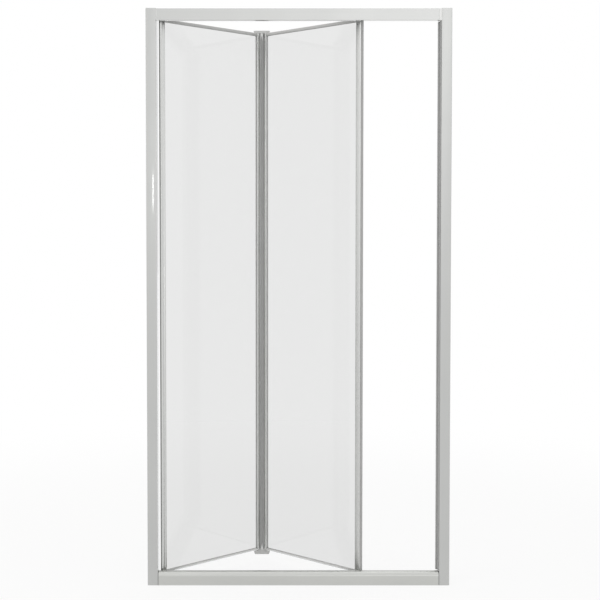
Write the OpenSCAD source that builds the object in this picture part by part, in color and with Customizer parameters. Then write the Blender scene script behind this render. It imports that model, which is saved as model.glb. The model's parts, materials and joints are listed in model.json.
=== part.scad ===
// Bifold shower door: two framed glass panels fold inwards on a double-pivot centre hinge.
// The origin is on the tray, under the middle of the frame; +X runs to the closing side,
// +Y into the shower and +Z up. The doors are drawn part folded.

/* [Frame] */
// Width of the frame, from wall to wall
frame_w = 1000; // [800:1:1200]
// Height of the jambs, from the tray up
frame_h = 1900; // [1600:1:2100]
// Depth of the frame, from its front face to its back face
frame_d = 64; // [60:1:80]
// Width of each jamb's front face
jamb_w = 34; // [33:0.5:50]
// Wall of the jambs
jamb_wall = 1.8; // [1.4:0.1:2.2]
// How far the jambs' edges stop short of the room's walls
adjust_gap = 1; // [0:0.5:5]

/* [Wall channels] */
// Length of each wall channel's legs, out from the room's wall
channel_leg = 26; // [22:0.5:28]
// Wall of the wall channels
channel_wall = 1.8; // [1.4:0.1:2.4]
// Gap between a wall channel and the jamb that slides over it
channel_clear = 0.1; // [0.05:0.05:0.5]
// Radius of the holes for the screws into the room's wall
wall_hole_r = 2.75; // [2:0.25:4]
// Number of those holes in each channel
wall_holes = 4; // [4:1:6]
// Distance of the first and last hole from the channel's ends
wall_hole_inset = 120; // [60:5:200]

/* [Top rail] */
// How far the top rail lies below the tops of the jambs
top_drop = 1.5; // [0:0.1:4]
// Height of the top rail's front box
fascia_h = 38; // [34:0.5:60]
// Height of the top rail's track, behind the front box
track_h = 13; // [12:0.5:14.5]
// Wall of both rails
rail_wall = 2; // [1.5:0.1:2.2]
// Depth of the front box of both rails
box_d = 20; // [18:0.5:22]
// Visible thickness of the end block at the top rail's closing end
thick_flange = 8; // [2:0.5:12]
// Visible thickness of the three other end blocks
thin_flange = 1.2; // [0.8:0.1:2]

/* [Bottom rail] */
// Height of the bottom rail's front lip
lip_h = 46; // [44:0.5:60]
// Radius of the lip's front shoulder
lip_round = 16; // [10:0.5:16]
// Radius of the lip's back shoulder
lip_back_round = 3; // [2.5:0.1:3.5]
// Height of the floor behind the lip
floor_h = 12; // [11:0.5:14]
// Height of the floor at its back edge
floor_back_h = 8; // [5:0.5:11]
// Width of the groove that guides the shoe
groove_w = 8; // [6:0.5:12]
// Depth of the groove that guides the shoe
groove_d = 7; // [5:0.5:7.5]

/* [Panels] */
// Angle of the folded panels to the frame, as drawn
fold_angle = 43.8; // [10:0.1:80]
// Largest fold angle
fold_max = 85; // [80:1:87]
// Distance of the doors' centre plane behind the frame's front face
track_back = 36; // [35:0.5:40]
// Distance of the pivot axis from the left jamb
pivot_gap = 12.5; // [12:0.5:20]
// Gap between the closing edge and the strike when the door is shut
close_gap = 1; // [0.5:0.1:3]
// Height of the panels' lower ends above the tray
panel_lift = 34; // [32:0.5:40]
// Distance of the panels' upper ends below the jamb tops
panel_drop = 29; // [27.5:0.5:36]
// Thickness of the glass
glass_t = 5; // [4:0.5:6]
// Thickness of the gasket on each side of the glass
gasket_t = 1.25; // [0.8:0.05:1.5]
// How far the gaskets stand out of the stiles
gasket_lip = 0.6; // [0.3:0.1:1.5]

/* [Stiles] */
// Thickness of the stiles
stile_t = 16; // [15:0.5:17]
// Distance from a stile's pin axis to its glass side
stile_reach = 12; // [11.5:0.5:18]
// Radius of the stiles' round edge, which is centred on the pin axis
nose_r = 6; // [5.6:0.1:6.3]
// Straight length between the round edge and the shoulder
neck_l = 4.5; // [3:0.1:5]
// Radius of the stiles' square corners
corner_r = 1.5; // [0.5:0.1:2.5]
// Radius of the chamber that takes the end plugs
chamber_r = 4.2; // [4:0.1:4.4]
// Depth of the glazing pocket
pocket_d = 6; // [5:0.1:6.4]
// Distance from the closing stile's pin axis to its closing edge
edge_reach = 9; // [8.5:0.5:14]

/* [Panel trims and seals] */
// Thickness of the trim along the panels' upper edge
top_trim_t = 12; // [9:0.5:16]
// Height of the upper trim
top_trim_h = 10; // [8:0.5:20]
// Height of the upper trim above the glass
top_trim_web = 3; // [1.5:0.1:5]
// Thickness of the trim along the panels' lower edge
low_trim_t = 9; // [7.5:0.5:16]
// Height of the lower trim
low_trim_h = 5; // [4:0.5:20]
// Height of the lower trim under the glass
low_trim_web = 1.5; // [1:0.1:2.5]
// Thickness of the sweep seal's flange
sweep_base_h = 1; // [0.6:0.1:1.5]
// Height of the sweep seal's fin
sweep_fin_h = 4; // [2:0.5:5.5]
// Thickness of the sweep seal's fin
sweep_fin_t = 1.2; // [0.8:0.1:2]
// Gap between the fins and what they pass over
sweep_gap = 0.6; // [0.4:0.1:1.5]
// Width of the magnetic seal in the closing edge
magnet_w = 9; // [6:0.5:10]
// Depth of the magnetic seal in its groove
magnet_seat = 2.5; // [1.5:0.1:3]
// How far the magnetic seal stands out of the closing edge
magnet_proud = 1.5; // [0.5:0.1:3]

/* [Strike] */
// Thickness of the strike's base on the right jamb
strike_base_t = 3; // [2:0.5:5]
// Depth of the strike's base
strike_base_d = 54; // [40:1:58]
// How far the strike stands out of the right jamb
strike_proud = 8; // [6:0.5:12]
// Width of the strike's raised holder
strike_w = 16; // [14:0.5:24]
// Thickness of the magnet strip in the strike
strike_magnet_t = 2.5; // [1.5:0.1:3]

/* [Centre hinge] */
// Distance between the two pin axes of the centre hinge
hinge_pitch = 22; // [21.5:0.1:26]
// Gap between the hinge caps and the stiles' end plugs
cap_gap = 0.5; // [0.3:0.1:1]
// Gap at each side between the stiles' round edges and the centre strip
strip_gap = 0.5; // [0.3:0.05:0.7]
// Depth of the centre strip
strip_d = 10; // [8:0.5:10.5]
// Width of the caps
cap_w = 58; // [54:0.5:70]
// Depth of the caps
cap_d = 16; // [14:0.5:20]
// Height of the top cap
top_cap_h = 8.5; // [7:0.5:10]
// How much narrower each end of a cap gets across its height
cap_flare = 4; // [1:0.5:6]
// Height of the bottom cap's wide foot
foot_h = 11.5; // [8:0.5:14]
// Height of the bottom cap's neck
cap_neck_h = 6; // [5.6:0.1:7]
// Radius of the neck's round ends
cap_neck_r = 5.5; // [4:0.1:6]
// Width of the pointed tongues on the caps
tongue_w = 7; // [4:0.5:7.5]
// Thickness of the tongues
tongue_t = 1.2; // [0.8:0.1:1.4]
// Length of the top cap's notched tongue
top_tongue_l = 26; // [12:0.5:40]
// Distance of the notch's top below the top cap
notch_top = 7; // [3:0.5:10]
// Length of the bottom cap's pointed tongue
low_tongue_l = 22; // [10:0.5:40]
// Gap between the tongues and the centre strip
tongue_gap = 0.1; // [0.05:0.05:0.3]

/* [Pins and bearings] */
// Radius of the pins of the centre hinge
hinge_pin_r = 2.5; // [2:0.1:3]
// Length of the hinge pins inside a cap
hinge_pin_in_cap = 6.5; // [5:0.1:6.8]
// Radius of the pivot pins
pivot_pin_r = 3; // [2.5:0.1:3.2]
// Length of the pivot pins outside the panel
pivot_pin_out = 18; // [12:0.5:18.5]
// Length of a pin's hold in its end plug
plug_hold = 18; // [12:1:40]
// Thickness of the end plugs' plates
plug_plate = 2; // [1.5:0.1:3]
// Length of the end plugs' stems
plug_stem = 20; // [12:1:60]
// Radial gap of the pins that turn
run_clear = 0.05; // [0.02:0.01:0.08]
// Radial gap of the pins, screws and plugs that are fixed
fix_clear = 0.02; // [0.01:0.01:0.05]
// Wall of the pivot bushes
bush_wall = 1.9; // [1.5:0.1:3]
// Width of the pivot bushes' flange around the bush
bush_flange = 2; // [1:0.1:3]
// Gap between a bush's flange and the panel
bush_gap = 0.4; // [0.2:0.1:1]

/* [Pivot blocks] */
// Depth of the pivot blocks
block_d = 18; // [16:0.5:22]
// Length of the pivot blocks past the pivot axis
block_l = 28; // [26:1:60]
// Distance of the block screws from the pivot axis
block_screw_x = 18; // [14:0.5:22]
// Gap between the top pivot block and the panel
block_gap = 3.6; // [3:0.1:5]

/* [Guides] */
// Radius of the roller in the top track
roller_r = 7; // [5.5:0.1:8]
// Height of the roller
roller_h = 8; // [6:0.5:8]
// Gap between the roller and each side of the track
roller_clear = 0.3; // [0.1:0.05:0.6]
// Gap above and below the roller on its pin
roller_float = 0.2; // [0.1:0.05:0.3]
// Radius of the roller's pin
roller_pin_r = 2.5; // [2:0.1:3]
// Radius of the collars on the roller's pin
roller_collar_r = 4; // [3.5:0.1:5]
// Thickness of the collar above the roller
roller_cap_h = 0.8; // [0.6:0.1:1.2]
// Length of the rubber stop that ends the fold
stop_l = 14; // [8:1:30]
// Gap between the roller and the stop at the full fold
stop_gap = 0.5; // [0.3:0.1:2]
// Radius of the pin that carries the guide shoe
guide_pin_r = 3; // [2.5:0.1:3.2]
// Length of the guide shoe
shoe_l = 30; // [24:1:34]
// Depth of the guide shoe's body
shoe_d = 14; // [12:0.5:18]
// Gap between the shoe's body and the floor, and between its tongue and the groove's floor
shoe_lift = 0.8; // [0.4:0.1:1.2]
// Gap between the shoe's tongue and each side of the groove
shoe_clear = 0.3; // [0.1:0.05:0.6]

/* [Screws] */
// Radius of all the screws' shanks
screw_r = 2; // [1.5:0.1:2.4]
// Radius of the round screw heads
head_r = 3.8; // [3.5:0.1:4.5]
// Height of the round screw heads
head_h = 2.4; // [1.5:0.1:2.6]
// Length of the corner screws in the end blocks
corner_screw_l = 18; // [10:1:19]
// Length of the end blocks inside the rails
block_plug_l = 22; // [20:1:60]
// Gap between the end blocks and the walls of the rails
block_plug_clear = 0.1; // [0.05:0.05:0.4]
// Distance of the upper corner screws from the top and bottom of the top rail's box
corner_screw_edge = 9; // [7:0.5:12]
// Height of the lower of the two screws at each bottom corner
low_screw_z = 10; // [7:0.5:12]
// Height between the two screws at each bottom corner
low_screw_rise = 16; // [12:0.5:18]
// Distance of the jamb fixing screws from the room's wall
fixing_x = 15; // [12:0.5:20]
// Distance of the first and last fixing screw from the jamb's ends
fixing_inset = 150; // [80:5:300]
// Length of the jamb fixing screws
fixing_l = 10; // [6:0.5:16]
// Wall of the cover caps over the fixing screws
cover_wall = 1.2; // [0.8:0.1:2]

/* [Hidden] */
$fn = 64;
over = 1; // how far a cut runs past the face that it opens

// Faces of the frame
wall_x = frame_w / 2;
face_x = wall_x - jamb_w;
front_y = -frame_d / 2;
back_y = frame_d / 2;
box_back_y = front_y + box_d;
track_y = front_y + track_back;
rail_top = frame_h - top_drop;
fascia_z = rail_top - fascia_h;
track_z = rail_top - track_h;
plate_z = rail_top - rail_wall;
track_w = 2 * (roller_r + roller_clear);
groove_z = floor_h - groove_d;
fall_y = track_y + groove_w / 2 + rail_wall;

// Doors: pin axes, with the panels' length found from the closed door
pivot_x = pivot_gap - face_x;
edge_out = edge_reach + magnet_proud;
closed_edge_x = face_x - strike_proud - close_gap;
panel_l = (closed_edge_x - edge_out - hinge_pitch - pivot_x) / 2;
hinge_x = pivot_x + panel_l * cos(fold_angle) + hinge_pitch / 2;
hinge_y = track_y + panel_l * sin(fold_angle);
guide_x = hinge_x + hinge_pitch / 2 + panel_l * cos(fold_angle);
folded_guide_x = pivot_x + hinge_pitch + 2 * panel_l * cos(fold_max);

// Heights of the panels' pieces
panel_z0 = panel_lift;
panel_z1 = frame_h - panel_drop;
stile_z0 = panel_z0 + plug_plate;
stile_z1 = panel_z1 - plug_plate;
low_trim_z = panel_z0 + sweep_base_h;
glass_z0 = low_trim_z + low_trim_web;
glass_z1 = panel_z1 - top_trim_web;
gasket_z0 = low_trim_z + low_trim_h;
gasket_z1 = panel_z1 - top_trim_h;
cap_z0 = panel_z0 - cap_gap;
cap_z1 = panel_z1 + cap_gap;
pocket_half = glass_t / 2 + gasket_t;
pocket_u = stile_reach - pocket_d;
glass_u = pocket_u + gasket_t;
shoulder_l = stile_t / 2 - nose_r;
strip_half = hinge_pitch / 2 - nose_r - strip_gap;

// Pivot blocks, bushes and guides
low_part_top = panel_z0 - sweep_fin_h - sweep_gap;
top_block_z = panel_z1 + block_gap;
bush_r = pivot_pin_r + run_clear + bush_wall;
block_x0 = thin_flange - face_x;
roller_z = track_z + roller_float;
shoe_z0 = floor_h + shoe_lift;

// Places of the screws
corner_y = front_y + box_d / 2;
top_screw_z = [fascia_z + corner_screw_edge, rail_top - corner_screw_edge];
bottom_screw_z = [low_screw_z, low_screw_z + low_screw_rise];
fixing_z = [fixing_inset, frame_h / 2, frame_h - fixing_inset];
fixing_screw_x = wall_x - fixing_x;

// Draws a profile of depth and height along X, from x0 to x1
module along_x(x0, x1) {
    translate([x0, 0, 0])
        rotate([90, 0, 90])
            linear_extrude(x1 - x0)
                children();
}

// Draws an outline of X and Y from z0 up to z1
module along_z(z0, z1) {
    translate([0, 0, z0])
        linear_extrude(z1 - z0)
            children();
}

// Draws its children at the right side of the frame, or mirrored at the left where side is -1
module at_side(side) {
    mirror([side < 0 ? 1 : 0, 0, 0])
        children();
}

// A flat rectangle between two corners
module span(x0, y0, x1, y1) {
    translate([x0, y0])
        square([x1 - x0, y1 - y0]);
}

// A flat rectangle with round corners
module round_span(x0, y0, x1, y1, r) {
    span(x0 + r, y0, x1 - r, y1);
    span(x0, y0 + r, x1, y1 - r);
    for (x = [x0 + r, x1 - r], y = [y0 + r, y1 - r])
        translate([x, y])
            circle(r);
}

module rod(x, y, z0, z1, r) {
    translate([x, y, z0])
        cylinder(h = z1 - z0, r = r);
}

// A rod along X, outwards from the middle of the frame
module rod_x(x0, x1, y, z, r) {
    translate([x0, y, z])
        rotate([0, 90, 0])
            cylinder(h = x1 - x0, r = r);
}

// A rod along Y
module rod_y(x, y0, y1, z, r) {
    translate([x, y0, z])
        rotate([-90, 0, 0])
            cylinder(h = y1 - y0, r = r);
}

// Places of the two panels, whose own X runs along the panel from its left pin axis
module on_pivot_panel() {
    translate([pivot_x, track_y, 0])
        rotate([0, 0, fold_angle])
            children();
}

module on_slide_panel() {
    translate([hinge_x + hinge_pitch / 2, hinge_y, 0])
        rotate([0, 0, -fold_angle])
            children();
}

// Places things at a panel's far pin axis, turned to face the glass
module at_far_stile() {
    translate([panel_l, 0, 0])
        mirror([1, 0, 0])
            children();
}

// ---------- Frame ----------

module wall_channel() {
    outer_y = back_y - jamb_wall - channel_clear;
    inner_y = outer_y - channel_wall;
    pitch = (frame_h - 2 * wall_hole_inset) / (wall_holes - 1);
    difference() {
        along_z(0, frame_h)
            difference() {
                span(wall_x - channel_leg, -outer_y, wall_x, outer_y);
                span(wall_x - channel_leg - over, -inner_y, wall_x - channel_wall, inner_y);
            }
        for (i = [0 : wall_holes - 1])
            rod_x(wall_x - channel_wall - over, wall_x + over, 0, wall_hole_inset + i * pitch, wall_hole_r);
        for (z = fixing_z)
            rod_y(fixing_screw_x, 0, outer_y + over, z, screw_r + fix_clear);
    }
}

module jamb() {
    inner_y = back_y - jamb_wall;
    difference() {
        along_z(0, frame_h)
            difference() {
                round_span(face_x, front_y, wall_x - adjust_gap, back_y, jamb_wall / 2);
                span(face_x + jamb_wall, -inner_y, wall_x, inner_y);
            }
        for (z = concat(top_screw_z, bottom_screw_z))
            rod_x(face_x - over, face_x + jamb_wall + over, corner_y, z, screw_r + fix_clear);
        for (z = fixing_z)
            rod_y(fixing_screw_x, 0, back_y + over, z, screw_r + fix_clear);
    }
}

module left_wall_channel() {
    color("lightgray")
        at_side(-1)
            wall_channel();
}

module right_wall_channel() {
    color("lightgray")
        at_side(1)
            wall_channel();
}

module left_jamb() {
    color("silver")
        at_side(-1)
            jamb();
}

module right_jamb() {
    color("silver")
        at_side(1)
            jamb();
}

// Outline of the top rail: a deep front box and a shallow track behind it
module top_outline() {
    span(front_y, fascia_z, box_back_y, rail_top);
    span(front_y, track_z, back_y, rail_top);
}

module top_box_hollow(gap) {
    span(front_y + rail_wall + gap, fascia_z + rail_wall + gap, box_back_y - rail_wall - gap, plate_z - gap);
}

module top_rail() {
    channel_y0 = track_y - track_w / 2;
    channel_y1 = track_y + track_w / 2;
    color("silver")
        difference() {
            along_x(thin_flange - face_x, face_x - thick_flange)
                difference() {
                    top_outline();
                    top_box_hollow(0);
                    span(channel_y0, track_z - over, channel_y1, plate_z);
                    span(box_back_y, track_z - over, channel_y0 - rail_wall, plate_z);
                    span(channel_y1 + rail_wall, track_z + rail_wall, back_y - rail_wall, plate_z);
                }
            rod(pivot_x + block_screw_x, track_y, plate_z - over, rail_top + over, screw_r + fix_clear);
        }
}

// The lip's outline, or its hollow where inset is the rail's wall
module lip_outline(inset) {
    y0 = front_y + lip_round;
    y1 = box_back_y - lip_back_round;
    span(front_y + inset, inset, box_back_y - inset, lip_h - lip_round);
    span(y0, lip_h - lip_round, y1, lip_h - inset);
    span(y1, lip_h - lip_round, box_back_y - inset, lip_h - lip_back_round);
    translate([y0, lip_h - lip_round])
        intersection() {
            circle(lip_round - inset);
            span(-lip_round, 0, 0, lip_round);
        }
    translate([y1, lip_h - lip_back_round])
        intersection() {
            circle(lip_back_round - inset);
            span(0, 0, lip_back_round, lip_back_round);
        }
}

// Height of the floor behind the lip, which falls away from the groove to the back
function floor_z(y) =
    floor_h - (floor_h - floor_back_h) * max(0, y - fall_y) / (back_y - fall_y);

// The floor's outline from y0 to the back, or its hollow where inset is the rail's wall
module floor_outline(y0, inset) {
    polygon([
        [y0, inset], [back_y - inset, inset], [back_y - inset, floor_back_h - inset],
        [fall_y, floor_h - inset], [y0, floor_h - inset]
    ]);
}

module bottom_rail() {
    groove_y0 = track_y - groove_w / 2;
    groove_y1 = track_y + groove_w / 2;
    color("silver")
        difference() {
            along_x(thin_flange - face_x, face_x - thin_flange) {
                difference() {
                    lip_outline(0);
                    lip_outline(rail_wall);
                }
                difference() {
                    floor_outline(box_back_y - rail_wall, 0);
                    difference() {
                        floor_outline(box_back_y - rail_wall, rail_wall);
                        span(groove_y0 - rail_wall, 0, fall_y, floor_h);
                    }
                    span(groove_y0, groove_z, groove_y1, floor_h + over);
                }
            }
            rod(pivot_x + block_screw_x, track_y, rail_wall, groove_z + over, screw_r + fix_clear);
        }
}

// End blocks: a plug in the rail's front box and a flange between the rail and the jamb
module end_block_bores(screw_z) {
    for (z = screw_z)
        rod_x(face_x - thick_flange - block_plug_l - over, face_x + over, corner_y, z, screw_r + fix_clear);
}

module top_end_block(flange) {
    difference() {
        union() {
            along_x(face_x - flange, face_x)
                top_outline();
            along_x(face_x - flange - block_plug_l, face_x - flange)
                top_box_hollow(block_plug_clear);
        }
        end_block_bores(top_screw_z);
    }
}

module bottom_end_block() {
    difference() {
        union() {
            along_x(face_x - thin_flange, face_x) {
                lip_outline(0);
                floor_outline(box_back_y - rail_wall, 0);
            }
            along_x(face_x - thin_flange - block_plug_l, face_x - thin_flange)
                lip_outline(rail_wall + block_plug_clear);
        }
        end_block_bores(bottom_screw_z);
    }
}

module top_left_end_block() {
    color("gainsboro")
        at_side(-1)
            top_end_block(thin_flange);
}

module top_right_end_block() {
    color("gainsboro")
        at_side(1)
            top_end_block(thick_flange);
}

module bottom_left_end_block() {
    color("dimgray")
        at_side(-1)
            bottom_end_block();
}

module bottom_right_end_block() {
    color("dimgray")
        at_side(1)
            bottom_end_block();
}

module corner_screws() {
    seat_x = face_x + jamb_wall;
    color("slategray")
        for (side = [-1, 1], z = concat(top_screw_z, bottom_screw_z))
            at_side(side) {
                rod_x(face_x - corner_screw_l, seat_x, corner_y, z, screw_r);
                rod_x(seat_x, seat_x + head_h, corner_y, z, head_r);
            }
}

module jamb_fixing_screws() {
    color("slategray")
        for (side = [-1, 1], z = fixing_z)
            at_side(side) {
                rod_y(fixing_screw_x, back_y - fixing_l, back_y, z, screw_r);
                rod_y(fixing_screw_x, back_y, back_y + head_h, z, head_r);
            }
}

// Round caps that snap over the heads of the fixing screws
module screw_cover_caps() {
    r = head_r + cover_wall;
    color("gainsboro")
        for (side = [-1, 1], z = fixing_z)
            at_side(side)
                translate([fixing_screw_x, back_y, z])
                    rotate([-90, 0, 0])
                        rotate_extrude()
                            difference() {
                                union() {
                                    span(0, 0, r, head_h);
                                    span(0, head_h, head_r, head_h + cover_wall);
                                    translate([head_r, head_h])
                                        intersection() {
                                            circle(cover_wall);
                                            span(0, 0, cover_wall, cover_wall);
                                        }
                                }
                                span(-over, -over, head_r + fix_clear, head_h + fix_clear);
                            }
}

// Pivot blocks: each has a tongue that fills the track or the groove
module top_pivot_block() {
    x1 = pivot_x + block_l;
    screw_x = pivot_x + block_screw_x;
    color("gray")
        difference() {
            union() {
                along_x(block_x0, x1)
                    span(track_y - block_d / 2, top_block_z, track_y + block_d / 2, track_z);
                along_x(block_x0, x1)
                    span(track_y - track_w / 2, top_block_z, track_y + track_w / 2, plate_z);
            }
            rod(pivot_x, track_y, top_block_z - over, panel_z1 + pivot_pin_out + over, bush_r + fix_clear);
            rod(screw_x, track_y, top_block_z - over, rail_top, screw_r + fix_clear);
            rod(screw_x, track_y, top_block_z - over, top_block_z + head_h, head_r + fix_clear);
        }
}

module bottom_pivot_block() {
    x1 = pivot_x + block_l;
    y0 = track_y - block_d / 2;
    y1 = track_y + block_d / 2;
    screw_x = pivot_x + block_screw_x;
    color("gray")
        difference() {
            union() {
                along_x(block_x0, x1)
                    polygon([
                        [y0, floor_h], [min(y1, fall_y), floor_h], [y1, floor_z(y1)],
                        [y1, low_part_top], [y0, low_part_top]
                    ]);
                along_x(block_x0, x1)
                    span(track_y - groove_w / 2, groove_z, track_y + groove_w / 2, low_part_top);
            }
            rod(pivot_x, track_y, panel_z0 - pivot_pin_out - over, low_part_top + over, bush_r + fix_clear);
            rod(screw_x, track_y, groove_z - over, low_part_top + over, screw_r + fix_clear);
            rod(screw_x, track_y, low_part_top - head_h, low_part_top + over, head_r + fix_clear);
        }
}

// Flanged bush around a pivot pin, drawn with its flange up
module bush(z_flange, z_block, z_end) {
    difference() {
        union() {
            rod(pivot_x, track_y, min(z_block, z_end), max(z_block, z_end), bush_r);
            rod(pivot_x, track_y, min(z_block, z_flange), max(z_block, z_flange), bush_r + bush_flange);
        }
        rod(pivot_x, track_y, min(z_flange, z_end) - over, max(z_flange, z_end) + over, pivot_pin_r + run_clear);
    }
}

module top_pivot_bush() {
    color("white")
        bush(panel_z1 + bush_gap, top_block_z, panel_z1 + pivot_pin_out);
}

module bottom_pivot_bush() {
    color("white")
        bush(panel_z0 - bush_gap, low_part_top, panel_z0 - pivot_pin_out);
}

module pivot_block_screws() {
    screw_x = pivot_x + block_screw_x;
    color("slategray") {
        rod(screw_x, track_y, top_block_z + head_h, rail_top - rail_wall / 2, screw_r);
        rod(screw_x, track_y, top_block_z, top_block_z + head_h, head_r);
        rod(screw_x, track_y, groove_z - rail_wall, low_part_top - head_h, screw_r);
        rod(screw_x, track_y, low_part_top - head_h, low_part_top, head_r);
    }
}

// Strike on the right jamb: a flat base and a raised holder with a magnet strip
module strike_profile() {
    y0 = -strike_base_d / 2;
    color("gray")
        along_z(lip_h, fascia_z)
            difference() {
                union() {
                    round_span(face_x - strike_base_t, y0, face_x, -y0, strike_base_t / 3);
                    round_span(face_x - strike_proud, track_y - strike_w / 2, face_x, track_y + strike_w / 2, corner_r);
                }
                span(face_x - strike_proud - over, track_y - magnet_w / 2,
                    face_x - strike_proud + strike_magnet_t, track_y + magnet_w / 2);
            }
}

module strike_magnet() {
    color("dimgray")
        along_z(lip_h, fascia_z)
            span(face_x - strike_proud, track_y - magnet_w / 2,
                face_x - strike_proud + strike_magnet_t, track_y + magnet_w / 2);
}

// Rubber stop in the track, which the roller meets at the full fold
module fold_stop() {
    x1 = folded_guide_x - roller_r - stop_gap;
    color("dimgray")
        along_x(x1 - stop_l, x1)
            span(track_y - track_w / 2, track_z, track_y + track_w / 2, plate_z);
}

// ---------- Panels ----------

// Outline of a stile with a round edge on its pin axis and its glass side at +X
module stile_outline() {
    half = stile_t / 2;
    circle(nose_r);
    polygon([
        [0, -nose_r], [neck_l, -nose_r], [neck_l + shoulder_l, -half], [stile_reach - corner_r, -half],
        [stile_reach, corner_r - half], [stile_reach, half - corner_r],
        [stile_reach - corner_r, half], [neck_l + shoulder_l, half], [neck_l, nose_r], [0, nose_r]
    ]);
    for (side = [-1, 1])
        translate([stile_reach - corner_r, side * (half - corner_r)])
            circle(corner_r);
}

// Outline of the closing stile, whose closing edge is square
module closing_outline() {
    round_span(-edge_reach, -stile_t / 2, stile_reach, stile_t / 2, corner_r);
}

module glazing_pocket() {
    span(pocket_u, -pocket_half, stile_reach + over, pocket_half);
}

module stile() {
    along_z(stile_z0, stile_z1)
        difference() {
            stile_outline();
            circle(chamber_r);
            glazing_pocket();
        }
}

// A stile's two end plugs: a plate of the stile's outline with a stem in its chamber
module end_plugs(bore_r) {
    low_stem = stile_z0 + plug_stem;
    top_stem = stile_z1 - plug_stem;
    difference() {
        union() {
            along_z(panel_z0, stile_z0)
                children();
            along_z(stile_z1, panel_z1)
                children();
            rod(0, 0, stile_z0, low_stem, chamber_r - fix_clear);
            rod(0, 0, top_stem, stile_z1, chamber_r - fix_clear);
        }
        rod(0, 0, panel_z0 - over, low_stem + over, bore_r);
        rod(0, 0, top_stem - over, panel_z1 + over, bore_r);
    }
}

module glass_pane() {
    along_z(glass_z0, glass_z1)
        span(glass_u, -glass_t / 2, panel_l - glass_u, glass_t / 2);
}

// U-shaped gasket around the glass edge in a stile at the origin
module gasket() {
    along_z(gasket_z0, gasket_z1)
        difference() {
            span(pocket_u, -pocket_half, stile_reach + gasket_lip, pocket_half);
            span(glass_u, -glass_t / 2, stile_reach + gasket_lip + over, glass_t / 2);
        }
}

module glass_gaskets() {
    gasket();
    at_far_stile()
        gasket();
}

module top_trim() {
    difference() {
        along_x(stile_reach, panel_l - stile_reach)
            round_span(-top_trim_t / 2, gasket_z1, top_trim_t / 2, panel_z1, corner_r);
        along_x(stile_reach - over, panel_l - stile_reach + over)
            span(-glass_t / 2, gasket_z1 - over, glass_t / 2, glass_z1);
    }
}

module bottom_trim() {
    difference() {
        along_x(stile_reach, panel_l - stile_reach)
            round_span(-low_trim_t / 2, low_trim_z, low_trim_t / 2, gasket_z0, corner_r / 2);
        along_x(stile_reach - over, panel_l - stile_reach + over)
            span(-glass_t / 2, glass_z0, glass_t / 2, gasket_z0 + over);
    }
}

module sweep_seal() {
    along_x(stile_reach, panel_l - stile_reach) {
        span(-low_trim_t / 2 + corner_r / 2, panel_z0, low_trim_t / 2 - corner_r / 2, low_trim_z);
        span(-sweep_fin_t / 2, panel_z0 - sweep_fin_h, sweep_fin_t / 2, panel_z0);
    }
}

module pivot_stile() {
    color("silver")
        on_pivot_panel()
            stile();
}

module pivot_hinge_stile() {
    color("silver")
        on_pivot_panel()
            at_far_stile()
                stile();
}

module pivot_glass() {
    color("aliceblue", 0.4)
        on_pivot_panel()
            glass_pane();
}

module pivot_top_trim() {
    color("darkgray")
        on_pivot_panel()
            top_trim();
}

module pivot_bottom_trim() {
    color("darkgray")
        on_pivot_panel()
            bottom_trim();
}

module pivot_sweep_seal() {
    color("whitesmoke")
        on_pivot_panel()
            sweep_seal();
}

module pivot_glass_gaskets() {
    color("lightgray")
        on_pivot_panel()
            glass_gaskets();
}

module pivot_stile_plugs() {
    color("gray")
        on_pivot_panel()
            end_plugs(pivot_pin_r + fix_clear)
                stile_outline();
}

module pivot_hinge_plugs() {
    color("gray")
        on_pivot_panel()
            at_far_stile()
                end_plugs(hinge_pin_r + run_clear)
                    stile_outline();
}

module top_pivot_pin() {
    color("lightsteelblue")
        rod(pivot_x, track_y, panel_z1 - plug_hold, panel_z1 + pivot_pin_out, pivot_pin_r);
}

module bottom_pivot_pin() {
    color("lightsteelblue")
        rod(pivot_x, track_y, panel_z0 - pivot_pin_out, panel_z0 + plug_hold, pivot_pin_r);
}

module slide_hinge_stile() {
    color("silver")
        on_slide_panel()
            stile();
}

module closing_stile() {
    color("silver")
        on_slide_panel()
            at_far_stile()
                along_z(stile_z0, stile_z1)
                    difference() {
                        closing_outline();
                        circle(chamber_r);
                        glazing_pocket();
                        span(-edge_reach - over, -magnet_w / 2, magnet_seat - edge_reach, magnet_w / 2);
                    }
}

module slide_glass() {
    color("aliceblue", 0.4)
        on_slide_panel()
            glass_pane();
}

module slide_top_trim() {
    color("darkgray")
        on_slide_panel()
            top_trim();
}

module slide_bottom_trim() {
    color("darkgray")
        on_slide_panel()
            bottom_trim();
}

module slide_sweep_seal() {
    color("whitesmoke")
        on_slide_panel()
            sweep_seal();
}

module slide_glass_gaskets() {
    color("lightgray")
        on_slide_panel()
            glass_gaskets();
}

module slide_hinge_plugs() {
    color("gray")
        on_slide_panel()
            end_plugs(hinge_pin_r + run_clear)
                stile_outline();
}

// The closing stile's plugs hold the roller's pin above and the shoe's pin below
module closing_stile_plugs() {
    low_stem = stile_z0 + plug_stem;
    top_stem = stile_z1 - plug_stem;
    color("gray")
        on_slide_panel()
            at_far_stile()
                difference() {
                    union() {
                        along_z(panel_z0, stile_z0)
                            closing_outline();
                        along_z(stile_z1, panel_z1)
                            closing_outline();
                        rod(0, 0, stile_z0, low_stem, chamber_r - fix_clear);
                        rod(0, 0, top_stem, stile_z1, chamber_r - fix_clear);
                    }
                    rod(0, 0, panel_z0 - over, low_stem + over, guide_pin_r + fix_clear);
                    rod(0, 0, top_stem - over, panel_z1 + over, roller_pin_r + fix_clear);
                }
}

module closing_magnet_seal() {
    color("dimgray")
        on_slide_panel()
            at_far_stile()
                along_z(stile_z0, stile_z1)
                    span(-edge_out, -magnet_w / 2, magnet_seat - edge_reach, magnet_w / 2);
}

// ---------- Centre hinge ----------

module on_hinge() {
    translate([hinge_x, hinge_y, 0])
        children();
}

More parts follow.
